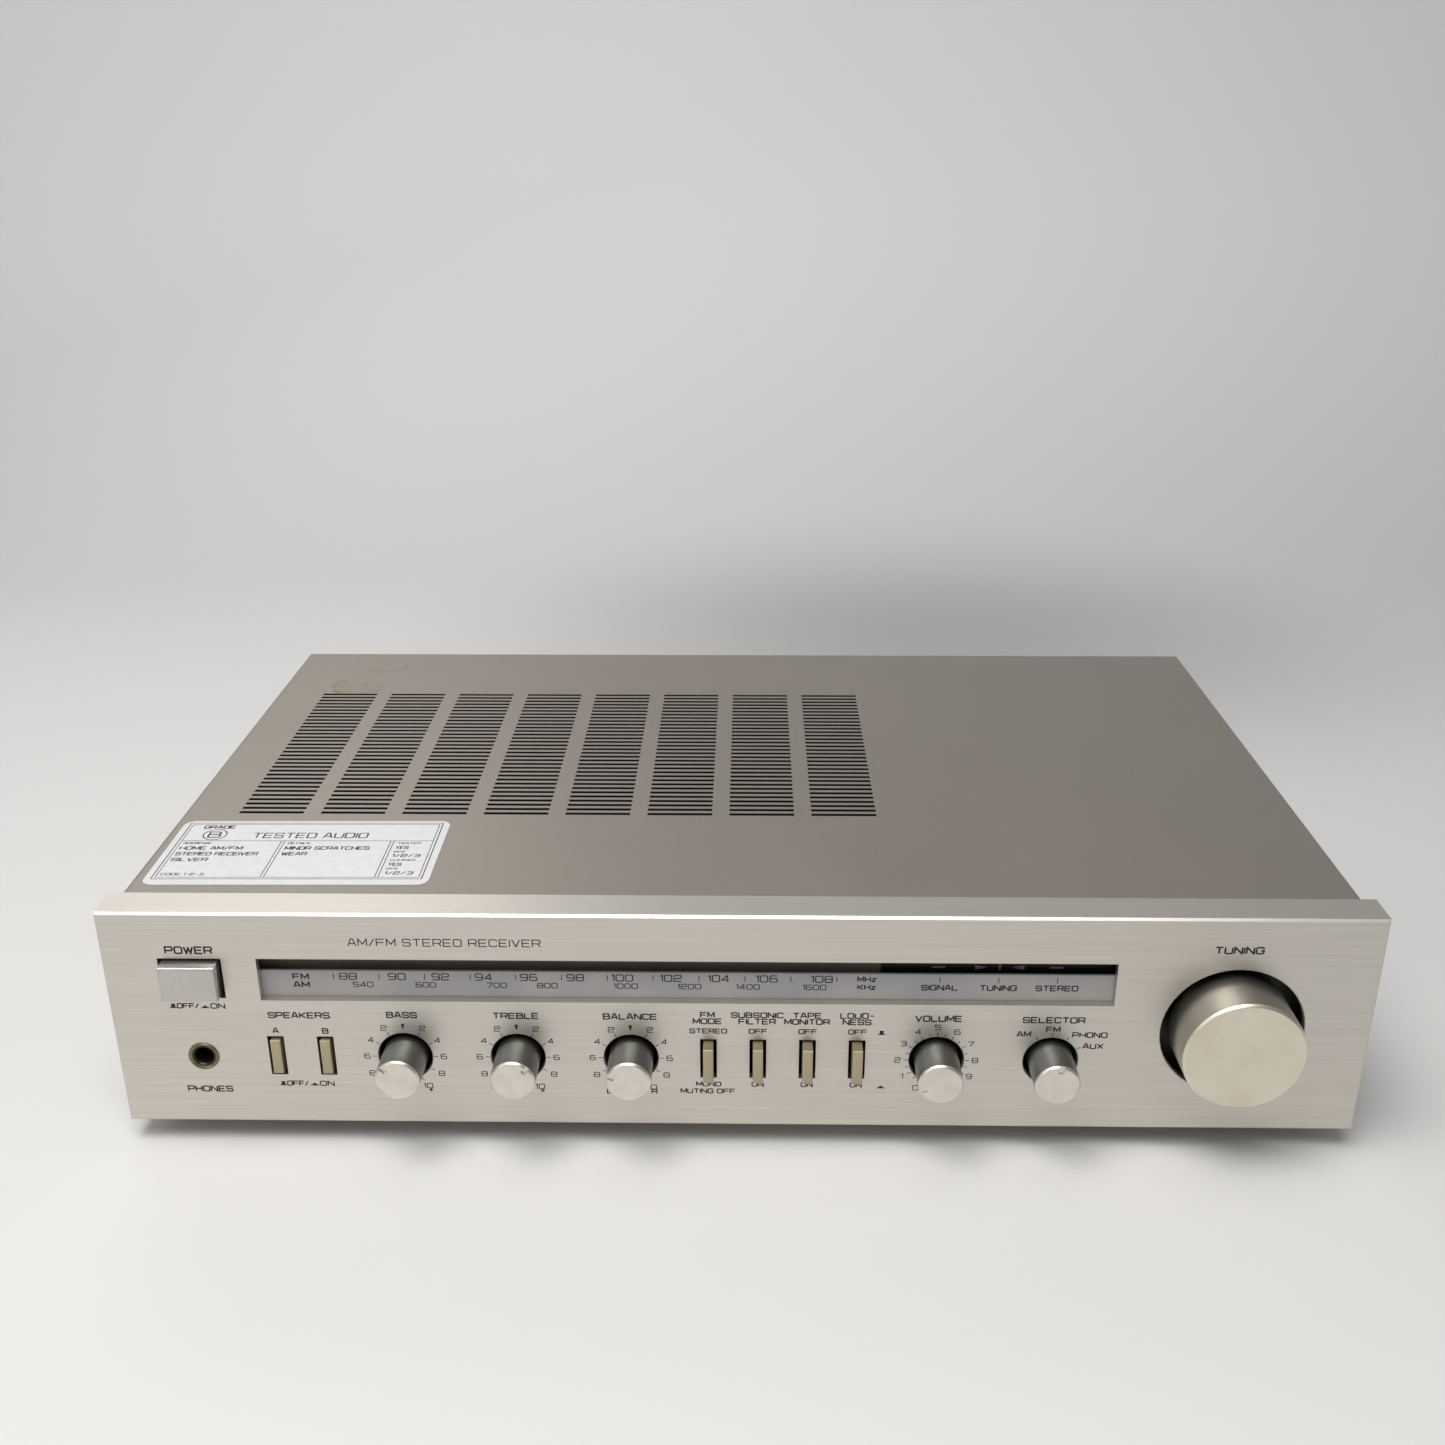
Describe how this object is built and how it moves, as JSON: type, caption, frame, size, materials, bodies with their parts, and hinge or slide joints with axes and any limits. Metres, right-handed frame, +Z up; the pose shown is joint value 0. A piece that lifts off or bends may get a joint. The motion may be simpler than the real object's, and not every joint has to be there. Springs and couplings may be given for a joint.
{
  "type": "stereo receiver",
  "caption": "Low wide stereo receiver: brushed aluminium front with dial window, rotary controls, latching push buttons and tuning knob; slotted sheet-metal cover.",
  "frame": {"origin": "centre of the bounding box's bottom face, on the surface under the feet", "axes": "+X to the right as a person facing the controls sees it, +Y from the front panel towards the back, +Z up"},
  "size_m": [0.44, 0.2948, 0.0951],
  "materials": {
    "panel_aluminium": "brushed along its length, clear anodised",
    "cover_paint": "satin metallic champagne grey paint",
    "knob_aluminium": "satin spun aluminium, bright bevel",
    "silver_plastic": "satin silver-plated plastic",
    "olive_plastic": "smooth olive-grey moulded plastic",
    "black_steel": "satin black paint",
    "zinc_steel": "zinc plated",
    "dial_plate": "matt mid-grey paint with black print",
    "smoked_plastic": "dark smoked acrylic, almost opaque",
    "black_plastic": "moulded black plastic",
    "led_lens": "frosted grey lens, unlit",
    "pointer_plastic": "clear red moulding",
    "white_plastic": "natural nylon",
    "cord_thread": "braided dial cord",
    "phenolic_board": "phenolic paper board",
    "component_mix": "small moulded and sleeved parts",
    "core_steel": "varnished laminations",
    "winding_tape": "copper windings under yellow tape",
    "capacitor_sleeve": "shrunk dark blue sleeve",
    "sink_aluminium": "black anodised",
    "brass_metal": "turned brass",
    "ferrule_metal": "dull bronze plate",
    "ferrite": "black plastic sleeve over a ferrite rod",
    "rubber_foot": "moulded rubber",
    "label_paper": null
  },
  "bodies": {
    "case": {"chassis_pan": "zinc_steel", "top_cover": "cover_paint", "front_panel": "panel_aluminium", "sub_panel": "black_steel", "rear_panel": "black_steel", "feet": "rubber_foot", "foot_screws": "zinc_steel", "cover_screws": "black_steel", "dial_scale_plate": "dial_plate", "smoked_strip": "smoked_plastic", "indicator_mask": "black_plastic", "indicator_leds": "led_lens", "dial_cord": "cord_thread", "main_board": "phenolic_board", "tuner_board": "phenolic_board", "board_components": "component_mix", "transformer_core": "core_steel", "transformer_windings": "winding_tape", "filter_capacitors": "capacitor_sleeve", "heat_sink": "sink_aluminium", "output_transistors": "black_plastic", "tuning_capacitor": "zinc_steel", "selector_switch": "zinc_steel", "pot_bodies": "zinc_steel", "push_switches": "black_plastic", "phones_jack": "black_plastic", "jack_ferrule": "ferrule_metal", "phono_jacks": "zinc_steel", "ground_post": "zinc_steel", "antenna_terminals": "black_plastic", "speaker_terminals": "black_plastic", "mains_gland": "black_plastic", "paper_label": "label_paper", "antenna_bracket": "black_steel"},
    "power": {"power_button": "silver_plastic"},
    "speaker_a": {"speaker_a_button": "olive_plastic"},
    "speaker_b": {"speaker_b_button": "olive_plastic"},
    "fm_mode": {"fm_mode_button": "olive_plastic"},
    "subsonic": {"subsonic_button": "olive_plastic"},
    "tape_monitor": {"tape_monitor_button": "olive_plastic"},
    "loudness": {"loudness_button": "olive_plastic"},
    "bass": {"bass_knob": "knob_aluminium", "bass_shaft": "zinc_steel"},
    "treble": {"treble_knob": "knob_aluminium", "treble_shaft": "zinc_steel"},
    "balance": {"balance_knob": "knob_aluminium", "balance_shaft": "zinc_steel"},
    "volume": {"volume_knob": "knob_aluminium", "volume_shaft": "zinc_steel"},
    "selector": {"selector_knob": "knob_aluminium", "selector_shaft": "zinc_steel"},
    "tuning": {"tuning_knob": "knob_aluminium", "tuning_shaft": "zinc_steel", "flywheel": "brass_metal"},
    "pointer": {"dial_pointer": "pointer_plastic"},
    "drum": {"cord_drum": "white_plastic"},
    "rotor": {"capacitor_rotor": "brass_metal"},
    "pulley_left": {"left_pulley": "white_plastic"},
    "pulley_right": {"right_pulley": "white_plastic"},
    "antenna": {"antenna_rod": "ferrite"}
  },
  "joints": [
    {"name": "power_press", "type": "slide", "parent": "case", "child": "power", "axis": [0, 1, 0], "range_m": [0, 0.004]},
    {"name": "speaker_a_press", "type": "slide", "parent": "case", "child": "speaker_a", "axis": [0, 1, 0], "range_m": [-0.004, 0]},
    {"name": "speaker_b_press", "type": "slide", "parent": "case", "child": "speaker_b", "axis": [0, 1, 0], "range_m": [-0.004, 0]},
    {"name": "fm_mode_press", "type": "slide", "parent": "case", "child": "fm_mode", "axis": [0, 1, 0], "range_m": [0, 0.004]},
    {"name": "subsonic_press", "type": "slide", "parent": "case", "child": "subsonic", "axis": [0, 1, 0], "range_m": [0, 0.004]},
    {"name": "tape_monitor_press", "type": "slide", "parent": "case", "child": "tape_monitor", "axis": [0, 1, 0], "range_m": [0, 0.004]},
    {"name": "loudness_press", "type": "slide", "parent": "case", "child": "loudness", "axis": [0, 1, 0], "range_m": [0, 0.004]},
    {"name": "bass_turn", "type": "hinge", "parent": "case", "child": "bass", "pos_m": [-0.1175, -0.1316, 0.0376], "axis": [0, 1, 0], "range_deg": [-105, 195]},
    {"name": "treble_turn", "type": "hinge", "parent": "case", "child": "treble", "pos_m": [-0.0775, -0.1316, 0.0376], "axis": [0, 1, 0], "range_deg": [-195, 105]},
    {"name": "balance_turn", "type": "hinge", "parent": "case", "child": "balance", "pos_m": [-0.0375, -0.1316, 0.0376], "axis": [0, 1, 0], "range_deg": [-78, 222]},
    {"name": "volume_turn", "type": "hinge", "parent": "case", "child": "volume", "pos_m": [0.07, -0.1316, 0.0376], "axis": [0, 1, 0], "range_deg": [-40, 260]},
    {"name": "selector_turn", "type": "hinge", "parent": "case", "child": "selector", "pos_m": [0.11, -0.1316, 0.0376], "axis": [0, 1, 0], "range_deg": [-30, 60]},
    {"name": "tuning_turn", "type": "hinge", "parent": "case", "child": "tuning", "pos_m": [0.172, -0.1316, 0.0503], "axis": [0, 1, 0], "range_deg": [-1340, 1340]},
    {"name": "pointer_slide", "type": "slide", "parent": "case", "child": "pointer", "axis": [1, 0, 0], "range_m": [-0.088, 0.088]},
    {"name": "drum_turn", "type": "hinge", "parent": "case", "child": "drum", "pos_m": [0.09, -0.1136, 0.066], "axis": [0, 1, 0], "range_deg": [-340, 340]},
    {"name": "rotor_turn", "type": "hinge", "parent": "case", "child": "rotor", "pos_m": [0.09, -0.1136, 0.066], "axis": [0, 1, 0], "range_deg": [-90, 90]},
    {"name": "pulley_left_turn", "type": "hinge", "parent": "case", "child": "pulley_left", "pos_m": [-0.158, -0.1136, 0.082], "axis": [0, 1, 0], "range_deg": [-1010, 1010]},
    {"name": "pulley_right_turn", "type": "hinge", "parent": "case", "child": "pulley_right", "pos_m": [0.118, -0.1136, 0.082], "axis": [0, 1, 0], "range_deg": [-1010, 1010]},
    {"name": "antenna_swing", "type": "hinge", "parent": "case", "child": "antenna", "pos_m": [-0.01, 0.1424, 0.071], "axis": [0, 0, 1], "range_deg": [-120, 0]}
  ],
  "couplings": [
    {"joint": "pointer_slide", "follows": "tuning_turn", "m_per_rad": 0.00375},
    {"joint": "drum_turn", "follows": "tuning_turn", "ratio": 0.25},
    {"joint": "rotor_turn", "follows": "tuning_turn", "ratio": 0.0625},
    {"joint": "pulley_left_turn", "follows": "tuning_turn", "ratio": 0.75},
    {"joint": "pulley_right_turn", "follows": "tuning_turn", "ratio": 0.75}
  ]
}
